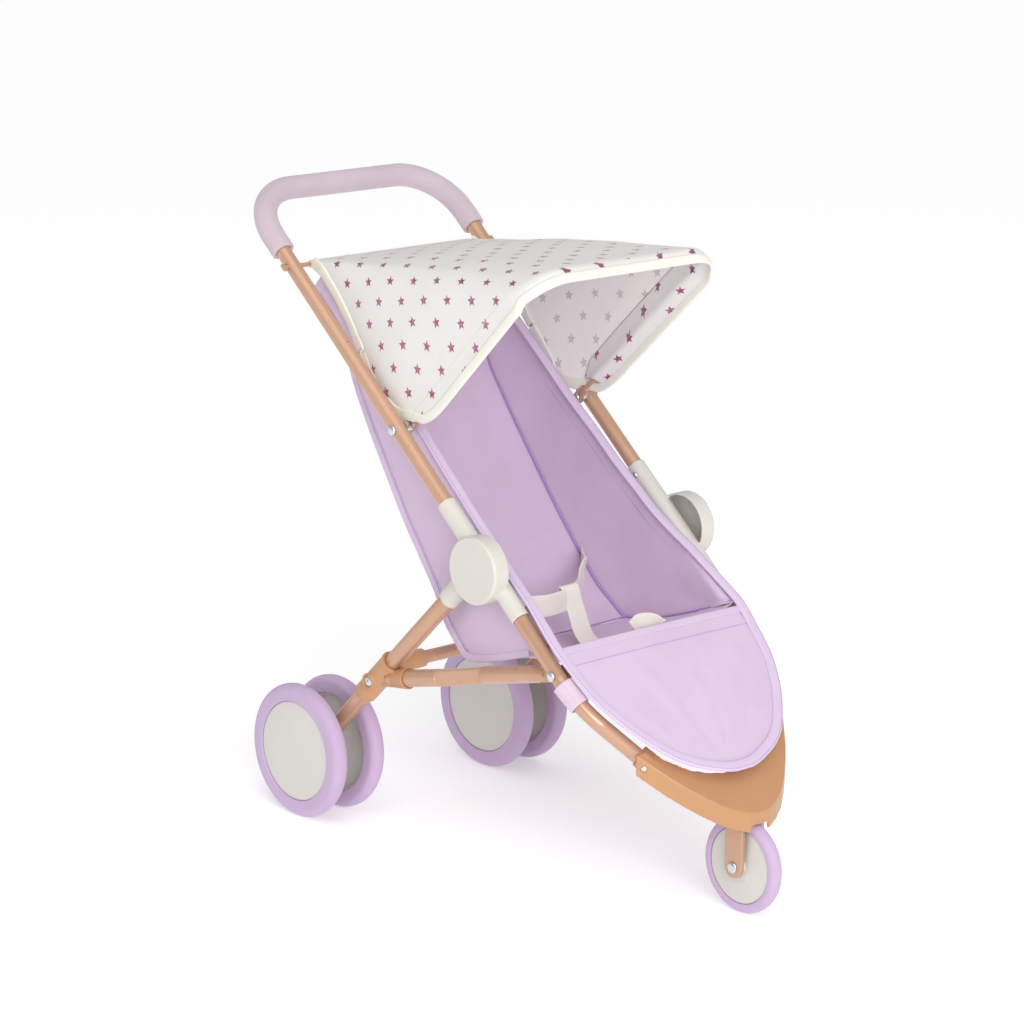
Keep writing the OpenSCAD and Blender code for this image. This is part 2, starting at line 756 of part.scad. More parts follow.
module seat_side(side) {
  side_x = tube_x - 12.2;
  seam = concat(back_seam, low_seam);
  rows = [for (i = [0:len(seam) - 1]) let (
      a = fp(front_edge[i][0], front_edge[i][1], front_edge[i][2]),
        b = hp(seam[i][0], seam[i][1], seam[i][2]))
    [for (f = [0:0.25:1]) let (p = a + (b - a) * f) [side * min(p[0], side_x), p[1], p[2]]]];
  color(lilac) sheet(rows, [seat_t, 0, 0], side < 0);
}

module seat_side_left() {
  seat_side(1);
}

module seat_side_right() {
  seat_side(-1);
}

module seat_bottom() {
  edge = concat([back_seam[10]], [for (i = [0, 1, 3]) low_seam[i]]);
  mid = [[0, 43.5, -94], [0, 4, -93], [0, -30, -91.5], [0, -52, -91]];
  rows = [for (i = [0:3]) [for (u = [-1, -0.8, -0.5, 0, 0.5, 0.8, 1])
    let (k = 1 - pow(abs(u), 4), e = edge[i], m = mid[i])
    hp(u * (e[0] - seat_t), e[1] + (m[1] - e[1]) * k, e[2] + (m[2] - e[2]) * k - seat_t)]];
  color(lilac) sheet(rows, [0, 0, seat_t], false);
}

pouch_edge = [[112, 98], [111, 128], [108, 152], [101, 172], [91, 192], [75, 214], [55, 232], [30, 243]];
pouch_deep = [44, 40, 36, 32, 27, 21, 14, 8];

module foot_pouch() {
  rows = [for (i = [0:len(pouch_edge) - 1]) [for (u = [-1, -0.86, -0.6, -0.3, 0, 0.3, 0.6, 0.86, 1])
    fp(u * (pouch_edge[i][0] - 14), pouch_edge[i][1] + 2,
      7.6 - pouch_deep[i] * (1 - pow(abs(u), 4)))]];
  color(lilac) sheet(rows, [0, -ss * seat_t, cs * seat_t], false);
}

// The front panel's outline follows the binding; both lie across the front tubes
panel_out = [[113, 104], [113, 125], [108, 157], [101, 176], [90, 197], [68, 226], [50, 240],
  [30, 249], [12, 253.5], [0, 254]];
panel_n = 9.4;

module front_panel() {
  plan = concat(panel_out, mirrored(panel_out));
  color(lilac) along() translate([0, panel_n + seat_t, 0]) rotate([90, 0, 0])
    linear_extrude(seat_t) polygon(plan);
}

bind_w = 9;
bind_t = 2.6;

module seat_binding() {
  lower = [for (i = [0:len(panel_out) - 1]) [panel_out[i][0] - (i > 7 ? 0 : 3),
    panel_out[i][1] - (i > 2 ? 3 : 0)]];
  path = concat([for (p = front_edge) fp(p[0] - 1.5, p[1], p[2] + 1.5)],
    [for (i = [1:len(lower) - 1]) fp(lower[i][0], lower[i][1], panel_n + seat_t + bind_t / 2)]);
  full = concat(path, [for (i = [len(path) - 2:-1:0]) [-path[i][0], path[i][1], path[i][2]]]);
  wide = [for (i = [0:len(full) - 1]) let (
      a = full[max(0, i - 1)],
      b = full[min(len(full) - 1, i + 1)],
      t = (b - a) / norm(b - a),
      v = cross([0, -ss, cs], t))
    v / norm(v) * bind_w / 2];
  rows = [for (i = [0:len(full) - 1]) [full[i] - wide[i], full[i] + wide[i]]];
  color(lilac) sheet(rows, [0, -ss * bind_t, cs * bind_t], true);
}

module tube_strap(side) {
  a = 10;
  color(lilac) along(side * tube_x) translate([0, 0, bend_s]) rotate([0, 0, side * bend_tilt])
    translate([-side * bend_r * (1 - cos(a)), 0, bend_r * sin(a)])
      rotate([0, -side * a, 0]) translate([0, 0, -10]) pipe(9.2, 20, 7.8);
}

module tube_strap_left() {
  tube_strap(1);
}

module tube_strap_right() {
  tube_strap(-1);
}

// Harness: two waist belts from the back seams and a crotch strap from the seat

module ribbon(path, across, off) {
  rows = [for (p = path) [hp(p[0], p[1], p[2]) - across / 2, hp(p[0], p[1], p[2]) + across / 2]];
  sheet(rows, off, false);
}

module waist_belt_left() {
  path = [[84, 88, -44], [70, 76, -45], [48, 54, -48], [28, 34, -50], [10, 20, -52]];
  color(webbing) ribbon(path, [0, 4, web_w], [-web_t * 0.5, web_t * 0.86, 0]);
}

module waist_belt_right() {
  path = [[-10, 9, -52], [-30, 8, -51], [-52, 14, -49], [-70, 34, -47], [-80, 60, -46],
    [-84, 86, -45]];
  color(webbing) ribbon(path, [0, 4, web_w], [web_t * 0.6, web_t * 0.8, 0]);
}

module crotch_strap() {
  path = [[0, -8, -90], [0, 2, -80], [0, 8, -66], [0, 13, -52], [0, 16, -42]];
  color(webbing) ribbon(path, [web_w, 0, 0], [0, web_t, web_t * 0.3]);
}

handle_tube();
handle_grip();
hub_left();
hub_right();
hub_screws_left();
hub_screws_right();
front_tube_left();
front_tube_right();
rear_leg_left();
rear_leg_right();
leg_bracket_left();
leg_bracket_right();
bracket_bolt_left();
bracket_bolt_right();
rear_cross_bar();
brace_left();
brace_right();
brace_bolt_left();
brace_bolt_right();
nose_cover();
nose_screws();
front_fork();
front_axle();
front_rim();
front_tyre();
rear_axle_left();
rear_axle_right();
rear_rim_left_outer();
rear_rim_left_inner();
rear_rim_right_inner();
rear_rim_right_outer();
rear_tyre_left_outer();
rear_tyre_left_inner();
rear_tyre_right_inner();
rear_tyre_right_outer();
canopy_rear_rod();
canopy_bow();
bow_bolt_left();
bow_bolt_right();
bow_spacer_left();
bow_spacer_right();
canopy_top();
canopy_wing_left();
canopy_wing_right();
seat_back();
seat_side_left();
seat_side_right();
seat_bottom();
foot_pouch();
front_panel();
seat_binding();
tube_strap_left();
tube_strap_right();
waist_belt_left();
waist_belt_right();
crotch_strap();
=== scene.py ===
"""Doll stroller: the looks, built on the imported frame. Lengths are written in millimetres."""

import json
import math

import bmesh
import bpy
import numpy as np
from mathutils import Matrix, Vector

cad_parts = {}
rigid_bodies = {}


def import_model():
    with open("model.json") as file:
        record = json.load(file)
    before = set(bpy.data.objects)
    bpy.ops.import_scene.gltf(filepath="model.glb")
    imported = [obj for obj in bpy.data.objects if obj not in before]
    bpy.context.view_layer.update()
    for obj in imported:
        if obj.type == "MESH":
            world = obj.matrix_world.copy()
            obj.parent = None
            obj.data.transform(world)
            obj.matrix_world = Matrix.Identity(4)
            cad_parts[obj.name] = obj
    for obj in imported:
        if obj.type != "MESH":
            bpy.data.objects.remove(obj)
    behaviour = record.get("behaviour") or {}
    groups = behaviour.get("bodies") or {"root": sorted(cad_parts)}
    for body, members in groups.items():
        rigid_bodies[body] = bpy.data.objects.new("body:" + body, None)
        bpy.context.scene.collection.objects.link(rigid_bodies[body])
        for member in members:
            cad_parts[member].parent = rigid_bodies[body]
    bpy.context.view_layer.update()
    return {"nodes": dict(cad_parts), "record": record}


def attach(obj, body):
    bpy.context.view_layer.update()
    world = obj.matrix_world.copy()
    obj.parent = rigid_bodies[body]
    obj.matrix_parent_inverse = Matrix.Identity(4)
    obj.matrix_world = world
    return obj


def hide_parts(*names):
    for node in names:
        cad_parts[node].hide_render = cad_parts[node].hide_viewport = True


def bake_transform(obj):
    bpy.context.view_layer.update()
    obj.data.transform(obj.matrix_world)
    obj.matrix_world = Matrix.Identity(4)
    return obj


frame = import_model()
MM = 0.001

# ---- the part's own layout, as in the CAD source ----
SLOPE = math.radians(39.7)
CS, SS = math.cos(SLOPE), math.sin(SLOPE)
TUBE_X = 115.5
HUB_Y, HUB_Z = -49.2294, 281.9
BOW_S, ROD_S = 157.0, 350.0
BOW_H, BOW_CORNER, BOW_X, BOW_TOP = 231.0, 36.0, 102.5, 110.0
LEAN = math.radians(45)


def fp(x, s, n=0.0):
    """A point on the frame plane: s down the main tube, n standing off it."""
    return np.array([x, HUB_Y - s * CS - n * SS, HUB_Z - s * SS + n * CS])


def hp(x, y, z):
    """A point measured from the hubs."""
    return np.array([x, HUB_Y + y, HUB_Z + z])


PIVOT = fp(0, -BOW_S)
ROD = fp(0, -ROD_S)


def bow(x, h, ahead=0.0):
    """A point on the open bow's plane: h up the bow, ahead in front of it."""
    up = np.array([0, -math.sin(LEAN), math.cos(LEAN)])
    front = np.array([0, -math.cos(LEAN), -math.sin(LEAN)])
    return np.array([x, 0, 0]) + PIVOT + up * h + front * ahead


# ---- camera and stage ----
def camera():
    a, e, r = math.radians(-42.73), math.radians(14.5), math.radians(1.29)
    right = np.array([math.cos(a), math.sin(a), 0])
    back = np.array([math.sin(a) * math.cos(e), -math.cos(a) * math.cos(e), math.sin(e)])
    up = np.cross(back, right)
    x_axis = math.cos(r) * right + math.sin(r) * up
    y_axis = -math.sin(r) * right + math.cos(r) * up
    place = right * 0.44 + np.array([0, 47.25, 293.65]) + back * 3242.3
    data = bpy.data.cameras.new("camera")
    data.lens = 126.04
    data.sensor_width = 36
    data.clip_start = 0.1
    data.clip_end = 100
    cam = bpy.data.objects.new("camera", data)
    rows = [[x_axis[i], y_axis[i], back[i], place[i] * MM] for i in range(3)]
    cam.matrix_world = Matrix(rows + [[0, 0, 0, 1]])
    bpy.context.scene.collection.objects.link(cam)
    bpy.context.scene.camera = cam


def area_light(name, place, target, size, power):
    data = bpy.data.lights.new(name, "AREA")
    data.shape = "RECTANGLE"
    data.size, data.size_y = size
    data.energy = power
    lamp = bpy.data.objects.new(name, data)
    lamp.location = place
    lamp.rotation_mode = "QUATERNION"
    lamp.rotation_quaternion = (Vector(target) - Vector(place)).to_track_quat("-Z", "Y")
    bpy.context.scene.collection.objects.link(lamp)


def studio():
    scene = bpy.context.scene
    scene.view_settings.view_transform = "Standard"
    world = bpy.data.worlds.new("studio")
    scene.world = world
    world.use_nodes = True
    world.node_tree.nodes["Background"].inputs[0].default_value = (1, 1, 1, 1)
    world.node_tree.nodes["Background"].inputs[1].default_value = 0.58
    sun = bpy.data.lights.new("sun", "SUN")
    sun.energy = 0.5
    sun.angle = math.radians(40)
    lamp = bpy.data.objects.new("sun", sun)
    lamp.rotation_mode = "QUATERNION"
    lamp.rotation_quaternion = Vector((0.45, 0.5, -1.25)).to_track_quat("-Z", "Y")
    scene.collection.objects.link(lamp)
    area_light("fill", (-1.5, -3.0, 1.5), (0, 0, 0.3), (2.0, 1.6), 62)
    area_light("strip", (-2.0, -0.6, 1.9), (0, 0, 0.3), (0.3, 1.4), 3.5)
    mesh = bpy.data.meshes.new("floor")
    r = 45.0
    mesh.from_pydata([(-r, -r, 0), (r, -r, 0), (r, r, 0), (-r, r, 0)], [], [(0, 1, 2, 3)])
    floor = bpy.data.objects.new("floor", mesh)
    scene.collection.objects.link(floor)
    m = bpy.data.materials.new("floor")
    m.use_nodes = True
    b = m.node_tree.nodes["Principled BSDF"]
    b.inputs["Base Color"].default_value = (0.97, 0.97, 0.972, 1)
    b.inputs["Roughness"].default_value = 0.75
    b.inputs["Specular IOR Level"].default_value = 0.2
    b.inputs["Emission Color"].default_value = (1, 1, 1, 1)
    b.inputs["Emission Strength"].default_value = 0.27
    mesh.materials.append(m)


camera()
studio()


# ---- materials ----
def lin(r, g, b):
    """An sRGB colour of 0-255 as linear RGBA."""
    out = []
    for c in (r, g, b):
        c = c / 255
        out.append(c / 12.92 if c <= 0.04045 else ((c + 0.055) / 1.055) ** 2.4)
    return (*out, 1)


class Shade:
    """A material's node tree, with short names for the nodes used here."""

    def __init__(self, name, roughness, **shader):
        self.mat = bpy.data.materials.new(name)
        self.mat.use_nodes = True
        self.tree = self.mat.node_tree
        self.bsdf = self.tree.nodes["Principled BSDF"]
        self.bsdf.inputs["Roughness"].default_value = roughness
        for key, value in shader.items():
            self.bsdf.inputs[key.replace("_", " ")].default_value = value

    def node(self, kind, **values):
        n = self.tree.nodes.new(kind)
        for key, value in values.items():
            setattr(n, key, value)
        return n

    def link(self, a, b):
        self.tree.links.new(a, b)

    def math(self, op, a, b=None, c=None):
        n = self.node("ShaderNodeMath", operation=op)
        for i, v in enumerate((a, b, c)):
            if v is None:
                continue
            if isinstance(v, (int, float)):
                n.inputs[i].default_value = v
            else:
                self.link(v, n.inputs[i])
        return n.outputs[0]

    def coords(self, kind="Object"):
        return self.node("ShaderNodeTexCoord").outputs[kind]

    def noise(self, vector, scale, detail=3, roughness=0.5):
        n = self.node("ShaderNodeTexNoise")
        n.inputs["Scale"].default_value = scale
        n.inputs["Detail"].default_value = detail
        n.inputs["Roughness"].default_value = roughness
        self.link(vector, n.inputs["Vector"])
        return n.outputs["Fac"]

    def ramp(self, fac, stops):
        n = self.node("ShaderNodeValToRGB")
        while len(n.color_ramp.elements) < len(stops):
            n.color_ramp.elements.new(0.5)
        for e, (p, c) in zip(n.color_ramp.elements, stops):
            e.position = p
            e.color = c
        self.link(fac, n.inputs["Fac"])
        return n.outputs["Color"]

    def mix(self, fac, a, b):
        n = self.node("ShaderNodeMix", data_type="RGBA")
        for value, slot in ((fac, n.inputs[0]), (a, n.inputs[6]), (b, n.inputs[7])):
            if isinstance(value, (int, float, tuple)):
                slot.default_value = value
            else:
                self.link(value, slot)
        return n.outputs[2]

    def bump(self, height, strength, distance):
        n = self.node("ShaderNodeBump")
        n.inputs["Strength"].default_value = strength
        n.inputs["Distance"].default_value = distance
        self.link(height, n.inputs["Height"])
        if self.bsdf.inputs["Normal"].is_linked:
            self.link(self.bsdf.inputs["Normal"].links[0].from_socket, n.inputs["Normal"])
        self.link(n.outputs[0], self.bsdf.inputs["Normal"])

    def colour(self, socket):
        self.link(socket, self.bsdf.inputs["Base Color"])

    def rough(self, socket):
        self.link(socket, self.bsdf.inputs["Roughness"])


def tint(c, k):
    return (*[min(1, v * k) for v in c[:3]], 1)


def hard(name, colour, roughness, grain=0.0, grain_scale=900, mottle=0.03, **shader):
    """Paint or moulded plastic: slight colour drift, uneven gloss and a fine surface texture."""
    s = Shade(name, roughness, **shader)
    v = s.coords()
    cloud = s.noise(v, 22, 4)
    s.colour(s.ramp(cloud, [(0.3, tint(colour, 1 - mottle)), (0.7, tint(colour, 1 + mottle))]))
    fine = s.noise(v, 160, 4, 0.6)
    s.rough(s.math("MULTIPLY_ADD", fine, 0.16, roughness - 0.08))
    if grain:
        s.bump(s.noise(v, grain_scale, 2), grain, 0.0002)
    s.bump(s.noise(v, 45, 2), 0.05, 0.001)
    return s.mat


def weave(s, uv, pitch, depth):
    """Plain weave: over and under threads of that pitch, as bump; returns u and v."""
    x = s.node("ShaderNodeSeparateXYZ")
    s.link(uv, x.inputs[0])
    k = 2 * math.pi / pitch
    a = s.math("SINE", s.math("MULTIPLY", x.outputs[0], k))
    b = s.math("SINE", s.math("MULTIPLY", x.outputs[1], k))
    h = s.math("MULTIPLY", a, b)
    s.bump(h, 0.35, depth)
    return x.outputs[0], x.outputs[1]


def cloth(name, colour, pitch=0.0007, depth=0.00015, mottle=0.05, translucent=0.0):
    s = Shade(name, 0.85, Sheen_Weight=0.25, Sheen_Roughness=0.5, Specular_IOR_Level=0.25)
    s.bsdf.inputs["Sheen Tint"].default_value = tint(colour, 1.1)
    if translucent:
        s.bsdf.inputs["Subsurface Weight"].default_value = translucent
        s.bsdf.inputs["Subsurface Radius"].default_value = (0.004, 0.003, 0.004)
    uv = s.coords("UV")
    u, v = weave(s, uv, pitch, depth)
    cloud = s.noise(uv, 18, 4)
    base = s.ramp(cloud, [(0.28, tint(colour, 1 - mottle)), (0.72, tint(colour, 1 + mottle * 0.6))])
    slub = s.noise(uv, 420, 3)
    s.colour(s.mix(s.math("MULTIPLY", slub, 0.16), base, tint(colour, 0.8)))
    s.bump(s.noise(uv, 30, 3), 0.25, 0.0012)
    return s, uv, u, v


def star_mask(s, u, v, wide=0.040, high=0.0163, radius=0.0057):
    """1 inside five-pointed stars set in staggered rows, each turned a little differently."""
    row = s.math("FLOOR", s.math("DIVIDE", v, high))
    shift = s.math("MULTIPLY", s.math("MODULO", s.math("ABSOLUTE", row), 2.0), 0.5)
    cu = s.math("ADD", s.math("DIVIDE", u, wide), shift)
    col = s.math("FLOOR", cu)
    lx = s.math("MULTIPLY", s.math("SUBTRACT", s.math("SUBTRACT", cu, col), 0.5), wide)
    down = s.math("FRACT", s.math("DIVIDE", v, high))
    ly = s.math("MULTIPLY", s.math("SUBTRACT", down, 0.5), high)
    cell = s.node("ShaderNodeCombineXYZ")
    s.link(col, cell.inputs[0])
    s.link(row, cell.inputs[1])
    rnd = s.node("ShaderNodeTexWhiteNoise", noise_dimensions="2D")
    s.link(cell.outputs[0], rnd.inputs["Vector"])
    turn = s.math("MULTIPLY_ADD", rnd.outputs["Value"], 0.4, math.pi / 5 - 0.2)
    step = 2 * math.pi / 5
    angle = s.math("ADD", s.math("ADD", s.math("ARCTAN2", ly, lx), turn), 4 * step)
    a = s.math("ABSOLUTE", s.math("SUBTRACT", s.math("MODULO", angle, step), step / 2))
    r = s.math("SQRT", s.math("ADD", s.math("MULTIPLY", lx, lx), s.math("MULTIPLY", ly, ly)))
    px, py = s.math("MULTIPLY", r, s.math("COSINE", a)), s.math("MULTIPLY", r, s.math("SINE", a))
    inner = radius * 0.45
    dx, dy = inner * math.cos(step / 2) - radius, inner * math.sin(step / 2)
    size = math.hypot(dx, dy)
    d = s.math("SUBTRACT", s.math("MULTIPLY", py, dx / size),
               s.math("MULTIPLY", s.math("SUBTRACT", px, radius), dy / size))
    soft = s.math("DIVIDE", d, 0.00018)
    n = s.node("ShaderNodeClamp")
    s.link(soft, n.inputs[0])
    return n.outputs[0]


def star_cloth(name, colour, printed=True):
    s, uv, u, v = cloth(name, colour, mottle=0.02, translucent=0.15)
    mask = star_mask(s, u, v)
    plain = s.bsdf.inputs["Base Color"].links[0].from_socket
    if not printed:
        s.colour(s.mix(s.math("MULTIPLY", mask, 0.55), plain, lin(176, 168, 170)))
        return s.mat
    foil = s.ramp(s.noise(uv, 260, 2), [(0.35, lin(150, 74, 116)), (0.65, lin(200, 130, 164))])
    s.colour(s.mix(mask, plain, foil))
    s.link(s.math("MULTIPLY", mask, 0.75), s.bsdf.inputs["Metallic"])
    s.rough(s.math("MULTIPLY_ADD", mask, -0.55, 0.85))
    return s.mat


def build_materials():
    m = {}
    m["painted_tube"] = hard("rose_gold_paint", lin(194, 152, 125), 0.3, 0.0, 1400, 0.02,
                             Metallic=0.25, Coat_Weight=0.35, Coat_Roughness=0.16)
    m["moulded_plastic"] = hard("tan_plastic", lin(189, 139, 98), 0.36, 0.05, 1000, 0.03,
                                Coat_Weight=0.12, Coat_Roughness=0.25)
    m["hub_plastic"] = hard("white_plastic", lin(210, 206, 197), 0.42, 0.05, 1000, 0.015)
    m["wheel_plastic"] = hard("disc_plastic", lin(208, 205, 199), 0.55, 0.22, 1500, 0.02)
    m["tyre"] = hard("lilac_tyre", lin(192, 168, 200), 0.62, 0.3, 1300, 0.03,
                     Sheen_Weight=0.15, Specular_IOR_Level=0.35)
    m["grip_foam"] = hard("foam", lin(200, 183, 192), 0.88, 0.8, 1900, 0.05,
                          Sheen_Weight=0.3, Specular_IOR_Level=0.2)
    m["bright_hardware"] = hard("plated_steel", (0.66, 0.67, 0.69, 1), 0.2, 0.03, 1500, 0.06,
                                Metallic=1.0)
    m["seat_fabric"] = cloth("lilac_cloth", lin(214, 193, 218))[0].mat
    m["seat_edge"] = cloth("lilac_binding", lin(216, 196, 222), 0.0009, 0.0002)[0].mat
    m["seam"] = cloth("violet_seam", lin(182, 140, 212), 0.0006)[0].mat
    m["thread"] = hard("violet_thread", lin(172, 152, 212), 0.7, 0.3, 2500, 0.06)
    m["white_thread"] = hard("cream_thread", lin(224, 221, 212), 0.7, 0.3, 2500, 0.04)
    m["canopy_out"] = star_cloth("star_cloth", lin(229, 227, 224))
    m["canopy_in"] = star_cloth("star_cloth_back", lin(246, 243, 240), printed=False)
    m["canopy_edge"] = cloth("cream_binding", lin(236, 234, 223), 0.0009, 0.0002, 0.02)[0].mat
    m["webbing"] = cloth("cream_webbing", lin(238, 231, 224), 0.0016, 0.0004, 0.04)[0].mat
    m["hook_tape"] = hard("fuzzy_tape", lin(214, 192, 208), 0.95, 1.0, 1100, 0.08, Sheen_Weight=0.6)
    return m


MAT = build_materials()
SLOT_OF = {p["node"]: p["material_slot"] for p in frame["record"]["subparts"]}


# ---- mesh helpers ----
def smooth_by_angle(mesh, degrees=32):
    """Smooth faces, with edges sharper than the angle kept crisp."""
    mesh.polygons.foreach_set("use_smooth", [True] * len(mesh.polygons))
    mesh.set_sharp_from_angle(angle=math.radians(degrees))


def piece(name, verts, faces, mats, uv=None, face_mat=None, angle=60):
    """A mesh object from points in millimetres; uv is one pair in metres for each point."""
    mesh = bpy.data.meshes.new(name)
    mesh.from_pydata((np.asarray(verts, float) * MM).tolist(), [], faces)
    for m in mats:
        mesh.materials.append(MAT[m])
    if face_mat is not None:
        mesh.polygons.foreach_set("material_index", face_mat)
    if uv is not None:
        layer = mesh.uv_layers.new(name="UVMap")
        index = np.zeros(len(mesh.loops), np.int32)
        mesh.loops.foreach_get("vertex_index", index)
        layer.data.foreach_set("uv", np.asarray(uv, float)[index].ravel())
    mesh.validate()
    smooth_by_angle(mesh, angle)
    obj = bpy.data.objects.new(name, mesh)
    bpy.context.scene.collection.objects.link(obj)
    return obj


def spline(points, count):
    """count points evenly spaced on a smooth curve through the given ones."""
    p = np.asarray(points, float)
    if len(p) < 3:
        t = np.linspace(0, 1, count)[:, None]
        return p[0] * (1 - t) + p[-1] * t
    d = np.linalg.norm(np.diff(p, axis=0), axis=1)
    t = np.concatenate([[0], np.cumsum(d)])
    m = np.zeros_like(p)
    m[1:-1] = (p[2:] - p[:-2]) / (t[2:] - t[:-2])[:, None]
    m[0] = (p[1] - p[0]) / d[0]
    m[-1] = (p[-1] - p[-2]) / d[-1]

    def at(q):
        i = np.clip(np.searchsorted(t, q, side="right") - 1, 0, len(d) - 1)
        h = d[i]
        s = ((q - t[i]) / h)[:, None]
        h = h[:, None]
        return ((2 * s**3 - 3 * s**2 + 1) * p[i] + (s**3 - 2 * s**2 + s) * h * m[i]
                + (3 * s**2 - 2 * s**3) * p[i + 1] + (s**3 - s**2) * h * m[i + 1])

    fine = at(np.linspace(0, t[-1], count * 6))
    length = np.concatenate([[0], np.cumsum(np.linalg.norm(np.diff(fine, axis=0), axis=1))])
    want = np.linspace(0, length[-1], count)
    return np.stack([np.interp(want, length, fine[:, k]) for k in range(p.shape[1])], 1)


def path_length(p):
    return float(np.linalg.norm(np.diff(p, axis=0), axis=1).sum())


def grid_uv(g):
    """Flat cloth coordinates of a grid of points, in metres, from lengths along it."""
    g = np.asarray(g, float)
    across = np.concatenate([np.zeros((g.shape[0], 1)),
                             np.cumsum(np.linalg.norm(np.diff(g, axis=1), axis=2), axis=1)], 1)
    across -= across[:, [g.shape[1] // 2]]
    down = np.concatenate([np.zeros((1, g.shape[1])),
                           np.cumsum(np.linalg.norm(np.diff(g, axis=0), axis=2), axis=0)], 0)
    return np.stack([across, down], 2) * MM


def normals(g):
    du = np.gradient(g, axis=0)
    dv = np.gradient(g, axis=1)
    n = np.cross(du, dv)
    return n / np.maximum(np.linalg.norm(n, axis=2, keepdims=True), 1e-9)


def grid_faces(rows, cols):
    return [(i * cols + j, i * cols + j + 1, (i + 1) * cols + j + 1, (i + 1) * cols + j)
            for i in range(rows - 1) for j in range(cols - 1)]


def sheet(name, g, thick, mats, flip=False, uv=None, subdiv=1):
    """A closed sheet of cloth through a grid of points; mats are its outer and inner cloth."""
    g = np.asarray(g, float)
    rows, cols = g.shape[:2]
    if uv is None:
        uv = grid_uv(g)
    faces = grid_faces(rows, cols)
    if flip:
        faces = [f[::-1] for f in faces]
    obj = piece(name, g.reshape(-1, 3), faces, mats, np.asarray(uv).reshape(-1, 2), angle=180)
    solid = obj.modifiers.new("thickness", "SOLIDIFY")
    solid.thickness = thick * MM
    solid.offset = 0
    solid.use_even_offset = False
    if len(mats) > 1:
        solid.material_offset = 1
    if subdiv:
        soft = obj.modifiers.new("soft", "SUBSURF")
        soft.levels = soft.render_levels = subdiv
    return obj


def sweep(path, across, profile, name, mats, angle=50):
    """profile points (across, off) swept along path; across is the width direction."""
    path = np.asarray(path, float)
    across = np.broadcast_to(np.asarray(across, float), path.shape).copy()
    tangent = np.gradient(path, axis=0)
    tangent /= np.linalg.norm(tangent, axis=1, keepdims=True)
    across -= tangent * (across * tangent).sum(1, keepdims=True)
    across /= np.linalg.norm(across, axis=1, keepdims=True)
    off = np.cross(tangent, across)
    profile = np.asarray(profile, float)
    k = len(profile)
    verts = (path[:, None] + across[:, None] * profile[None, :, :1]
             + off[:, None] * profile[None, :, 1:]).reshape(-1, 3)
    n = len(path)
    faces = [(i * k + j, i * k + (j + 1) % k, (i + 1) * k + (j + 1) % k, (i + 1) * k + j)
             for i in range(n - 1) for j in range(k)]
    faces += [tuple(range(k))[::-1], tuple((n - 1) * k + j for j in range(k))]
    along = np.concatenate([[0], np.cumsum(np.linalg.norm(np.diff(path, axis=0), axis=1))]) * MM
    girth = np.concatenate([[0], np.cumsum(np.linalg.norm(np.diff(profile, axis=0), axis=1))]) * MM
    uv = np.stack(np.broadcast_arrays(girth[None, :], along[:, None]), 2).reshape(-1, 2)
    return piece(name, verts, faces, mats, uv, angle=angle)


def flat_profile(width, thick, count=5, crown=0.0):
    """A flat band with rounded edges."""
    h, r = width / 2, thick / 2
    ends = [math.radians(a) for a in (-60, -20, 20, 60)]
    right = [(h - r + r * math.cos(a), r * math.sin(a)) for a in ends]
    top = [(x, r + crown * (1 - (x / h) ** 2)) for x in np.linspace(h - r, -h + r, count)]
    left = [(-x, -y) for x, y in right]
    low = [(-x, -r) for x, _ in top]
    return right + top + left + low


def round_profile(radius, count=8):
    return [(radius * math.cos(a), radius * math.sin(a))
            for a in np.linspace(0, 2 * math.pi, count, endpoint=False)]


def stitches(name, path, normal, mat="thread", pitch=3.0, length=2.1, radius=0.32, lift=0.15):
    """A row of short stitches lying on a seam line."""
    path = np.asarray(path, float)
    total = path_length(path)
    line = spline(path, max(4, int(total / 1.5)))
    at = np.concatenate([[0], np.cumsum(np.linalg.norm(np.diff(line, axis=0), axis=1))])
    normal = np.broadcast_to(np.asarray(normal, float), path.shape)
    share = np.linspace(0, 1, len(path))
    verts, faces = [], []
    for i in range(int(total / pitch)):
        mid = (i + 0.5) * pitch
        a, b = [np.array([np.interp(mid + s * length / 2, at, line[:, k]) for k in range(3)])
                for s in (-1, 1)]
        up = np.array([np.interp(mid / total, share, normal[:, k]) for k in range(3)])
        up /= np.linalg.norm(up)
        t = (b - a) / np.linalg.norm(b - a)
        side = np.cross(up, t)
        base = len(verts)
        for q, k in ((a, 0.45), ((a + b) / 2, 1.0), (b, 0.45)):
            for c in range(6):
                w = math.pi * c / 3
                rise = lift + radius * k * math.sin(w)
                verts.append(q + up * rise + side * radius * k * math.cos(w))
        for j in range(2):
            for c in range(6):
                d = (c + 1) % 6
                faces.append((base + j * 6 + c, base + j * 6 + d,
                              base + j * 6 + 6 + d, base + j * 6 + 6 + c))
        faces += [tuple(base + c for c in range(5, -1, -1)), tuple(base + 12 + c for c in range(6))]
    return piece(name, verts, faces, [mat], angle=180)


def mirror(p):
    return np.asarray(p, float) * np.array([-1, 1, 1])


def give(obj, body, slot, *nodes):
    """The piece rides on a body and stands for CAD nodes, which it hides; slot is not used."""
    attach(obj, body)
    if nodes:
        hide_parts(*nodes)
    return obj


# ---- hard parts: clean copies of the CAD nodes, with softened edges ----
def node_mesh(node):
    """A copy of a CAD node's mesh with its shared corners joined."""
    mesh = frame["nodes"][node].data.copy()
    mesh.name = node + "_mesh"
    bm = bmesh.new()
    bm.from_mesh(mesh)
    bmesh.ops.remove_doubles(bm, verts=bm.verts, dist=0.000004)
    bmesh.ops.dissolve_limit(bm, angle_limit=math.radians(1.2), verts=bm.verts, edges=bm.edges)
    bm.to_mesh(mesh)
    bm.free()
    return mesh


def body_of(node):
    return frame["nodes"][node].parent.name.split(":", 1)[1]


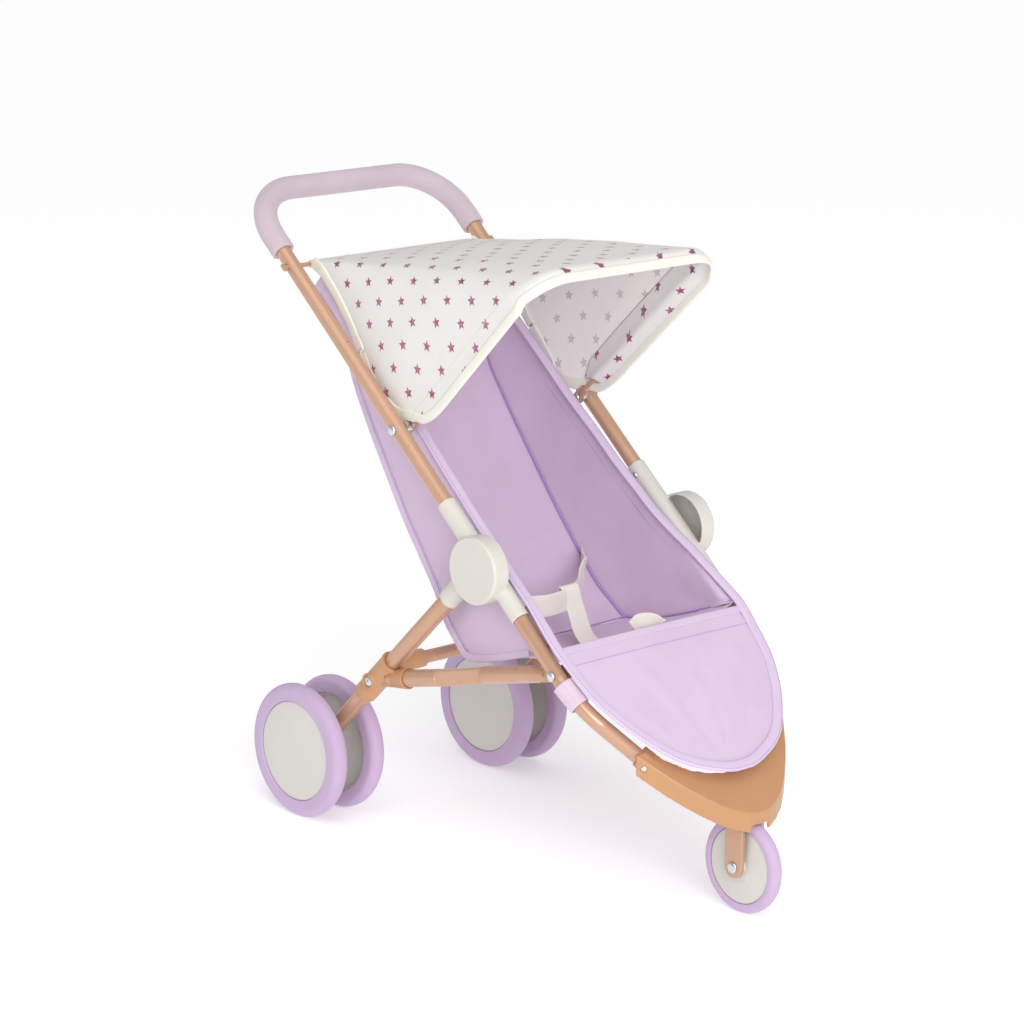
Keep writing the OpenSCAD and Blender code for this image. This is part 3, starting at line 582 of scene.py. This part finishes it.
def finish_part(obj, node, material=None, **slots):
    slot = SLOT_OF[node]
    obj.data.materials.clear()
    obj.data.materials.append(MAT[material or slot])
    give(obj, body_of(node), slot, node)
    return obj


def polish(node, width=0.35, segments=2, limit=32, angle=35):
    """The CAD shape with its sharp edges rounded by width millimetres."""
    mesh = node_mesh(node)
    obj = bpy.data.objects.new(node + "_shape", mesh)
    bpy.context.scene.collection.objects.link(obj)
    if width:
        b = obj.modifiers.new("edges", "BEVEL")
        b.width = width * MM
        b.segments = segments
        b.limit_method = "ANGLE"
        b.angle_limit = math.radians(limit)
        b.use_clamp_overlap = True
        bake(obj)
    smooth_by_angle(obj.data, angle)
    return finish_part(obj, node)


def bake(obj):
    """Applies an object's modifiers."""
    graph = bpy.context.evaluated_depsgraph_get()
    made = bpy.data.meshes.new_from_object(obj.evaluated_get(graph))
    obj.modifiers.clear()
    obj.data = made


def moulded(node, voxel=0.8, rounds=8, share=0.3):
    """The CAD shape remeshed and relaxed, so edges and junctions blend like a moulding."""
    mesh = node_mesh(node)
    obj = bpy.data.objects.new(node + "_shape", mesh)
    bpy.context.scene.collection.objects.link(obj)
    fine = obj.modifiers.new("fine", "REMESH")
    fine.mode = "VOXEL"
    fine.voxel_size = voxel * MM
    soft = obj.modifiers.new("soft", "SMOOTH")
    soft.factor = 0.5
    soft.iterations = rounds
    thin = obj.modifiers.new("thin", "DECIMATE")
    thin.ratio = share
    bake(obj)
    smooth_by_angle(obj.data, 60)
    return finish_part(obj, node)


def hard_parts():
    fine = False
    for side in ("left", "right"):
        moulded("hub_" + side, 0.9 if fine else 0.7, 5, 0.35)
        moulded("leg_bracket_" + side, 0.9 if fine else 0.7, 4, 0.45)
        moulded("brace_" + side, 1.0 if fine else 0.8, 7, 0.4)
        if side == "left":
            moulded("handle_grip", 1.0, 3, 0.5)
        for node in ("hub_screws_", "bracket_bolt_", "brace_bolt_", "bow_bolt_"):
            polish(node + side, 0.25)
        for node in ("front_tube_", "rear_leg_"):
            polish(node + side, 0.3)
        polish("rear_axle_" + side, 0.4)
        polish("bow_spacer_" + side, 0.5)
        for twin in ("outer", "inner"):
            polish(f"rear_rim_{side}_{twin}", 0.8, 3)
            polish(f"rear_tyre_{side}_{twin}", 0.9, 3, 28)
    moulded("nose_cover", 1.0 if fine else 0.75, 16, 0.3)
    fork = moulded("front_fork", 1.0 if fine else 0.8, 3, 0.4)
    fork.data.materials[0] = MAT["painted_tube"]
    for node, width in (("handle_tube", 0.3), ("rear_cross_bar", 0.3), ("nose_screws", 0.25),
                        ("front_axle", 0.3), ("canopy_rear_rod", 0.5), ("canopy_bow", 0.4)):
        polish(node, width)
    polish("front_rim", 0.7, 3)
    polish("front_tyre", 0.8, 3, 28)


# ---- canopy ----
def canopy_section(t):
    """Half of the outer cloth's line over the bow, t 0 at the middle to 1 at the wing's foot."""
    gap = 3.4
    r = BOW_CORNER + gap
    flat, arc = BOW_TOP - BOW_CORNER, r * math.pi / 2
    leg = BOW_H - BOW_CORNER - 18
    total = flat + arc + leg
    d = t * total
    if d <= flat:
        return np.array([d, BOW_H + gap])
    if d <= flat + arc:
        a = (d - flat) / r
        return np.array([flat + r * math.sin(a), BOW_H - BOW_CORNER + r * math.cos(a)])
    q = d - flat - arc
    return np.array([BOW_TOP + gap - (BOW_TOP - BOW_X) * q / leg, BOW_H - BOW_CORNER - q])


def canopy_grid(cols=101, rows=36):
    """The outer cloth as one grid: rows run from the front hem back to the rear rod."""
    ahead = [9.5, 6.0, 2.2, -2.2, -7.0, -16.0, -33.0]
    behind = rows - len(ahead)
    share = np.linspace(-1, 1, cols)
    rear_edge = [(192.5, -12.5), (180, -7), (152, -3.5), (124, -3), (93, -5.5), (66, -8.5),
                 (38, -8.5), (20, -3), (13, 3)]
    flat_t, foot_from, side_hem = 0.335, 0.88, 1.35
    edge = spline([(95.5 + 8.5 * min(1, i / 5), h, -b) for i, (b, h) in enumerate(rear_edge)], 60)
    g = np.zeros((rows, cols, 3))
    for j, c in enumerate(share):
        t, side = abs(c), math.copysign(1, c)
        x, h = canopy_section(t)
        front = bow(x, h)
        if t < flat_t:
            rear = ROD + np.array([95.5 * t / flat_t, -1.0, 3.4])
        else:
            k = (t - flat_t) / (1 - flat_t) * (len(edge) - 1)
            i = min(int(k), len(edge) - 2)
            e = edge[i] + (edge[i + 1] - edge[i]) * (k - i)
            rear = bow(e[0], e[1], e[2])
            start = ROD + np.array([95.5, -1.0, 3.4])
            s = min(1, (t - flat_t) / 0.05)
            rear = start * (1 - s) + rear * s
        run = rear - front
        run_len = np.linalg.norm(run)
        way = run / run_len
        plane = np.array([0, -math.cos(LEAN), -math.sin(LEAN)])
        for i, a in enumerate(ahead):
            if a > 0:
                round_off = max(0.0, 1 - max(0, (t - foot_from) / (1 - foot_from)) ** 2)
                a *= math.sqrt(round_off) * (side_hem if t > 0.4 else 1)
                drop = 0.10 * a * a / 9
                inward = np.array([0, -math.sin(LEAN), math.cos(LEAN)]) * -drop if t < 0.45 else 0
                p = front + plane * a + inward
            else:
                p = front + way * min(-a, run_len * 0.5 * (0.25 - a / 60))
            g[i, j] = p
        last = g[len(ahead) - 1, j]
        for i in range(behind):
            q = (i + 1) / behind
            g[len(ahead) + i, j] = last * (1 - q) + rear * q
        hump = np.sin(math.pi * np.linspace(0, 1, rows - 3))
        if t < flat_t + 0.1:
            lift = 7.0 * (1 - (t / (flat_t + 0.1)) ** 2)
            g[3:, j, 2] += hump * lift
        g[3:, j, 0] += hump * max(0, min(1, (t - flat_t) / 0.25)) * (1 - t) * 9
        g[:, j, 0] *= side
    return g


def canopy_uv(g):
    """Unrolls the canopy about its two long folds, so the print isn't stretched."""
    bar = bow(0, BOW_H)
    along = (bar - ROD) / np.linalg.norm(bar - ROD)
    up = np.array([0, -along[2], along[1]])
    up = up if up[2] > 0 else -up
    rel = g - ROD
    drop = np.maximum(0, 4 - rel @ up)
    u = -(np.abs(g[..., 0]) + drop)
    return np.stack([u, rel @ along], 2) * MM


def ripple(g, amount, seed, waves=5, long=0.05):
    """A few smooth random waves across a grid, in millimetres."""
    rng = np.random.default_rng(seed)
    p = g * MM
    total = np.zeros(g.shape[:2])
    for _ in range(waves):
        k = rng.normal(size=3)
        k *= 2 * math.pi / (long * rng.uniform(0.7, 1.8)) / np.linalg.norm(k)
        total += np.sin(p @ k + rng.uniform(0, 6.28)) / waves
    return total[..., None] * amount


def canopy():
    g = canopy_grid()
    rows, cols = g.shape[:2]
    n = normals(g)
    n *= np.sign((n[10, cols // 2] @ np.array([0, 0, 1])))
    body = np.clip((np.arange(rows) - 6) / 8, 0, 1)[:, None, None]
    fade = body * np.clip((rows - 1 - np.arange(rows)) / 4, 0, 1)[:, None, None]
    g = g + n * ripple(g, 1.5, 11, 6, 0.07) * fade
    top = sheet("canopy_cloth", g, 0.8, ["canopy_in", "canopy_out"], uv=canopy_uv(g), flip=True)
    extras = [top]

    strip_in = [0.8, 1.2, 6.2, 6.4, 5.0, 2.6, 0.9]
    low, high = 2, cols - 2
    lining = np.stack([g[i, low:high] - n[i, low:high] * d for i, d in enumerate(strip_in)], 0)
    uv = canopy_uv(lining)
    uv[..., 0] = uv[..., 0] + 0.011
    extras.append(sheet("canopy_channel", lining, 0.7, ["canopy_out"], uv=uv))

    toe = [g[3, k] for k in (0, -1)]
    toe_in = [g[3, 1] - g[3, 0], g[3, -2] - g[3, -1]]
    front = np.concatenate([toe[:1], g[0, 1:-1], toe[1:]])
    inward = np.concatenate([toe_in[:1], g[1, 1:-1] - g[0, 1:-1], toe_in[1:]])
    inward /= np.linalg.norm(inward, axis=1, keepdims=True)
    hem = sweep(spline(front, 200), resample(inward, 200), flat_profile(9.0, 3.2, 5, 0.3),
                "canopy_front_binding", ["canopy_edge"])
    extras.append(hem)
    for side, cut in (("right", slice(0, 33)), ("left", slice(cols - 33, cols))):
        line = g[-1, cut]
        inside = g[-3, cut] - g[-1, cut]
        foot = g[:, 0 if side == "right" else cols - 1]
        foot_in = (g[:, 1] - g[:, 0]) if side == "right" else (g[:, -2] - g[:, -1])
        if side == "right":
            line, inside = line[::-1], inside[::-1]
        whole = np.concatenate([line, foot[::-1][2:-3]])
        ins = np.concatenate([inside, foot_in[::-1][2:-3]])
        ins /= np.linalg.norm(ins, axis=1, keepdims=True)
        path = spline(whole[::2], 110)
        extras.append(sweep(path, resample(ins[::2], 110), flat_profile(11.0, 3.0, 5, 0.3),
                            "canopy_wing_binding_" + side, ["canopy_edge"]))
        out = np.array([1.0 if side == "left" else -1.0, 0, 0])
        seam = spline(whole[::2] + ins[::2] * 4.0, 110)
        extras.append(stitches("canopy_wing_stitch_" + side, seam[6:-6] + out * 1.25, out,
                               "white_thread", 3.2, 2.2, 0.25))
    seam = spline(g[4, 3:-3] + n[4, 3:-3] * 0.75, 150)
    extras.append(stitches("canopy_channel_stitch", seam, resample(n[4, 3:-3], 150),
                           "white_thread", 3.2, 2.2, 0.25))
    roll = [ROD + np.array([x, 0, 0]) for x in np.linspace(-96, 96, 40)]
    wrap = round_profile(3.6, 16)
    rear = sweep(roll, [0, 0, 1], wrap, "canopy_rear_hem", ["canopy_edge"], angle=80)
    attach(rear, "frame")
    for o in extras:
        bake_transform(o)
    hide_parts("canopy_top", "canopy_wing_left", "canopy_wing_right")
    return top, extras[1], extras[2:] + [rear]


def resample(v, count):
    """count vectors along a list of them."""
    v = np.asarray(v, float)
    t = np.linspace(0, len(v) - 1, count)
    return np.stack([np.interp(t, np.arange(len(v)), v[:, k]) for k in range(3)], 1)


# ---- seat ----
BACK_SEAM = [(81, 259.5, 210), (80, 238, 168), (80, 219.2, 122.1), (82, 194.5, 84),
             (84, 168.3, 48.1), (86, 142.5, 13.7), (87, 117.9, -16.4), (89, 91.2, -47.9),
             (92, 77.5, -66.4), (95, 57.9, -82.9), (96, 43.5, -93)]
LOW_SEAM = [(98, 5, -85), (102, -43.5, -68), (106, -71.5, -56), (110, -83, -50.5)]
FRONT_EDGE = [(90, -335, 1), (91, -291, 0), (92, -247, 0), (93, -203, 0), (93.5, -157, 0),
              (96, -115, 0), (97, -80, 0), (99, -45, 1), (100, -20, 2), (103, 5, 4), (106, 28, 7),
              (108, 50, 9.5), (111, 72, 11), (113, 88, 12), (114, 99, 12.5)]
PANEL_OUT = [(113, 104), (113, 125), (108, 157), (101, 176), (90, 197), (68, 226), (50, 240),
             (30, 249), (12, 253.5), (0, 254)]
POUCH_EDGE = [(112, 98), (111, 128), (108, 152), (101, 172), (91, 192), (75, 214), (55, 232),
              (30, 243)]
POUCH_DEEP = [44, 40, 36, 32, 27, 21, 14, 8]
PANEL_N = 9.4


def side_grid(rows=58, cols=13):
    top = spline([fp(*p) for p in FRONT_EDGE], rows)
    top[:, 0] -= 1.0
    low = spline([hp(*p) for p in BACK_SEAM + LOW_SEAM], rows)
    f = np.linspace(0, 1, cols)[None, :, None]
    g = top[:, None] * (1 - f) + low[:, None] * f
    length = np.clip(np.sin(math.pi * np.linspace(0.04, 0.96, rows)), 0.1, 1)
    bow_out = np.sin(math.pi * f[..., 0]) * length[:, None]
    g[..., 0] += 2.5 * bow_out
    above = -(g[..., 1] - HUB_Y) * SS + (g[..., 2] - HUB_Z) * CS
    limit = np.interp(above, [7.0, 11.5], [103.2, 116.0])
    g[..., 0] = np.minimum(g[..., 0], limit)
    n = normals(g)
    fade = np.sin(math.pi * np.clip(f[..., 0], 0.0, 1))[..., None]
    return g + n * ripple(g, 1.8, 5, 7, 0.08) * fade


def seat():
    g = side_grid()
    soft = []
    for side in (1, -1):
        name = "left" if side > 0 else "right"
        q = g if side > 0 else mirror(g)
        o = sheet("seat_side_cloth_" + name, q, 1.4, ["seat_fabric"], flip=side < 0)
        give(o, "frame", "seat_fabric", "seat_side_" + name)
        soft.append((o, g, "seat_binding"))
    edge = spline([hp(*p) for p in BACK_SEAM], 44)
    u = np.linspace(-1, 1, 25)
    b = np.stack([edge * np.array([k, 1, 1]) + np.array([0, 6.0, -4.5]) * (1 - k * k)
                  for k in u], 1)
    b[..., 0] *= 0.985
    n = normals(b)
    b = b + n * ripple(b, 1.6, 8, 6, 0.09) * (1 - (u[None, :, None]) ** 2)
    back = sheet("seat_back_cloth", b, 1.4, ["seat_fabric"])
    give(back, "frame", "seat_fabric", "seat_back")
    soft.append((back, b, "seat_side_left"))

    ends = [BACK_SEAM[10]] + [LOW_SEAM[i] for i in (0, 1, 3)]
    rim = spline([hp(*p) for p in ends], 16)
    mid = spline([hp(0, 43.5, -94), hp(0, 4, -93), hp(0, -30, -91.5), hp(0, -52, -91)], 16)
    u = np.linspace(-1, 1, 27)
    k = (1 - np.abs(u) ** 3.2)[None, :, None]
    r = rim[:, None] * np.stack([u, u * 0 + 1, u * 0 + 1], 1)[None]
    m = mid[:, None] + np.zeros_like(r)
    m[..., 0] = r[..., 0]
    floor = r * (1 - k) + m * k
    floor = floor + normals(floor) * ripple(floor, 1.2, 9, 5, 0.06) * (1 - u[None, :, None] ** 2)
    base = sheet("seat_bottom_cloth", floor, 1.4, ["seat_fabric"])
    give(base, "frame", "seat_fabric", "seat_bottom")
    soft.append((base, floor, "seat_side_left"))

    out = spline([(x, s, d) for (x, s), d in zip(POUCH_EDGE, POUCH_DEEP)] + [(0, 247, 2)], 26)
    u = np.linspace(-1, 1, 29)
    p = np.stack([[fp(c * max(2.0, x - 12), s + 2, 7.4 - d * (1 - abs(c) ** 3.4)) for c in u]
                  for x, s, d in out], 0)
    pouch = sheet("foot_pouch_cloth", p, 1.4, ["seat_fabric"])
    give(pouch, "frame", "seat_fabric", "foot_pouch")
    soft.append((pouch, p, "front_tube_left"))

    line = spline([(x, s, 0) for x, s in PANEL_OUT], 60)
    want = 104 + 149.2 * np.sin(np.linspace(0, math.pi / 2, 30))
    half = np.interp(want, line[:, 1], line[:, 0])
    u = np.linspace(-1, 1, 41)
    fan = np.zeros((len(want), len(u), 3))
    for i, (s, w) in enumerate(zip(want, half)):
        deep = (s - 104) / 150
        for j, c in enumerate(u):
            x = c * max(w, 1.5)
            swell = 3.2 * (1 - c * c) * math.sin(math.pi * min(1, deep * 0.9 + 0.12))
            turn = math.atan2(x + 12, 285 - s)
            reach = math.hypot(x + 12, 285 - s)
            fold = math.sin(turn * 21 + 1.2 * math.sin(reach / 24)) + 0.6 * math.sin(turn * 37 + 2)
            fold *= (0.65 * (1 - c * c) * (0.35 + 0.65 * deep)
                     * math.sin(math.pi * min(1, deep + 0.08)))
            fan[i, j] = fp(x, s, PANEL_N + 2.4 + swell + fold)
    panel = sheet("front_panel_cloth", fan, 1.6, ["seat_fabric"])
    give(panel, "frame", "seat_fabric", "front_panel")
    soft.append((panel, fan, "front_tube_left"))
    seat_edges(edge, rim, fan)
    return soft


def seat_edges(edge, rim, fan):
    """Edge binding, seam piping, stitches and the flange along the rear seams."""
    plane = np.array([0, -SS, CS])
    upper = [fp(x - 1.5, s, n + 1.6) for x, s, n in FRONT_EDGE]
    lower = [fp(x - (3 if x > 20 else 0), s - (3 if s > 150 else 0), PANEL_N + 4.0)
             for x, s in PANEL_OUT[1:]]
    half = spline(upper + lower, 150)
    full = np.concatenate([half, mirror(half[::-1][1:])])
    tangent = np.gradient(full, axis=0)
    tangent /= np.linalg.norm(tangent, axis=1, keepdims=True)
    across = np.cross(plane, tangent)
    bind = sweep(full, across, flat_profile(10.5, 2.8, 5, 0.5), "seat_binding_cloth", ["seat_edge"])
    give(bind, "frame", "seat_fabric", "seat_binding")
    row = stitches("seat_binding_stitch", full[4:-4] + across[4:-4] * 3.4 + plane * 1.75, plane,
                   "thread", 3.0, 2.1, 0.3)
    give(row, "frame", "seat_fabric")
    for side_x in (1, -1):
        name = "left" if side_x > 0 else "right"
        s = np.array([side_x, 1, 1])
        facing = spline([fp(x + 1.4, d, n - 8) for x, d, n in FRONT_EDGE[:12]], 80) * s
        out = np.array([side_x, 0, 0.0])
        band = sweep(facing, plane, flat_profile(16, 1.5, 5, 0.3), "seat_facing_" + name,
                     ["seat_edge"])
        give(band, "frame", "seat_fabric")
        lace = stitches("seat_facing_stitch_" + name, facing[2:-2] - plane * 4.5 + out * 1.1, out)
        give(lace, "frame", "seat_fabric")
        lace = stitches("seat_facing_stitch_in_" + name,
                        facing[2:-2] - plane * 5.5 - out * 3.2, -out)
        give(lace, "frame", "seat_fabric")
        inside = edge * s + np.array([-side_x * 2.0, -1.2, 0.8])
        cord = sweep(inside, [0, 0, 1], round_profile(0.8), "back_seam_" + name, ["seam"], angle=80)
        give(cord, "frame", "seat_fabric")
        away = np.array([0, 0.77, -0.64])
        turned = spline([hp(*p) for p in BACK_SEAM + LOW_SEAM[:2]], 60)
        flange = sweep(turned * s + np.array([side_x * 1.2, 1.5, -1.0]), away,
                       flat_profile(7.0, 2.0, 5, 0.3), "back_flange_" + name, ["seat_edge"])
        give(flange, "frame", "seat_fabric")
        row = stitches("back_stitch_" + name, edge * s - away * 5.0 + out * 2.4, out)
        give(row, "frame", "seat_fabric")
        low = spline(rim * s, 30) + np.array([-side_x * 1.5, 0, 1.2])
        cord = sweep(low, [0, 0, 1], round_profile(0.8), "bottom_seam_" + name, ["seam"], angle=80)
        give(cord, "frame", "seat_fabric")
    across_seam = spline([hp(-94, 43.8, -92.2), hp(0, 43.8, -92.6), hp(94, 43.8, -92.2)], 30)
    cord = sweep(across_seam, [0, 0, 1], round_profile(0.8), "rear_bottom_seam", ["seam"], angle=80)
    give(cord, "frame", "seat_fabric")
    top = fan[0] + plane * 1.0
    hem = sweep(top, np.array([0, -CS, -SS]), flat_profile(7.0, 1.6, 5, 0.2),
                "front_panel_hem", ["seat_fabric"])
    give(hem, "frame", "seat_fabric")
    row = stitches("front_panel_stitch", fan[2] + plane * 1.15, plane)
    give(row, "frame", "seat_fabric")
    head = spline([hp(-79, 260, 210.5), hp(0, 266, 206), hp(79, 260, 210.5)], 50)
    bind = sweep(head, [0, 0.45, 0.89], flat_profile(9.0, 3.0, 5, 0.4), "seat_head_binding",
                 ["seat_edge"])
    give(bind, "frame", "seat_fabric")


# ---- straps ----
def webbing(name, path, across, width=20.0, thick=1.7, count=60):
    line = spline([hp(*p) for p in path], count)
    wide = np.asarray(across, float)
    wide = wide if wide.ndim == 1 else resample(wide, count)
    return sweep(line, wide, flat_profile(width, thick, 6), name, ["webbing"])


def straps():
    left = webbing("waist_belt_left_web", [(85, 90, -44), (76, 82, -42), (64, 66, -47),
                   (54, 56, -40), (42, 47, -47), (26, 33, -51), (8, 20, -50)],
                   [(0, 3, 20), (2, 0, 20), (6, 2, 18), (4, 6, 19), (0, 2, 20), (1, 4, 20)])
    give(left, "frame", "webbing", "waist_belt_left")
    right = webbing("waist_belt_right_web", [(-10, 11, -50), (-22, 9, -50), (-38, 8, -50),
                    (-56, 15, -49), (-71, 34, -47), (-80, 60, -46), (-85, 88, -45)],
                    [(0, 2, 20), (0, 2, 20), (0, 3, 20), (0, 4, 20)])
    give(right, "frame", "webbing", "waist_belt_right")
    crotch = webbing("crotch_strap_web", [(4, -18, -89), (3, -6, -86.5), (1, 1, -78),
                     (0, 7, -64), (-1, 12, -52), (-1, 16, -42), (-1, 19.5, -40),
                     (-1, 21.5, -43), (-1, 20, -52), (-1, 17, -60)],
                     [1, 0.05, 0], 22)
    give(crotch, "frame", "webbing", "crotch_strap")
    loose = webbing("spare_webbing",
                    [(22, -78, -60), (18, -70, -56), (8, -64, -56), (-2, -66, -60)],
                    [(0, 3, 12), (0, 6, 12)], 14, 1.6, 30)
    give(loose, "frame", "webbing")
    for side in (1, -1):
        name = "left" if side > 0 else "right"
        a, r = math.radians(10), 108.0
        turn = math.radians(9) * side
        local = np.array([-side * r * (1 - math.cos(a)), 0, 121 + r * math.sin(a)])
        axis_local = np.array([-side * math.sin(a), 0, math.cos(a)])
        spin = np.array([[math.cos(turn), -math.sin(turn), 0],
                         [math.sin(turn), math.cos(turn), 0], [0, 0, 1]])
        to = lambda v: np.array([v[0], -v[2] * CS - v[1] * SS, -v[2] * SS + v[1] * CS])
        centre = to(spin @ local) + np.array([side * TUBE_X, HUB_Y, HUB_Z])
        axis = to(spin @ axis_local)
        n1 = np.cross(axis, [0, 0, 1.0])
        n1 /= np.linalg.norm(n1)
        n2 = np.cross(axis, n1)
        ring = []
        for w in np.linspace(-0.6, 2 * math.pi + 0.5, 46):
            rad = 8.15 + 0.35 * (w + 0.6) / 2
            ring.append(centre + (n1 * math.cos(w * side) + n2 * math.sin(w * side)) * rad)
        o = sweep(ring, axis, flat_profile(24, 1.3, 6), "hook_loop_" + name, ["hook_tape"],
                  angle=60)
        give(o, "frame", "seat_fabric", "tube_strap_" + name)


def declare(canopy_top, channel, canopy_rest, soft):
    g = canopy_grid()
    strip = canopy_grid()[:7]


hard_parts()
canopy_parts = canopy()
seat_parts = seat()
straps()
declare(*canopy_parts, seat_parts)
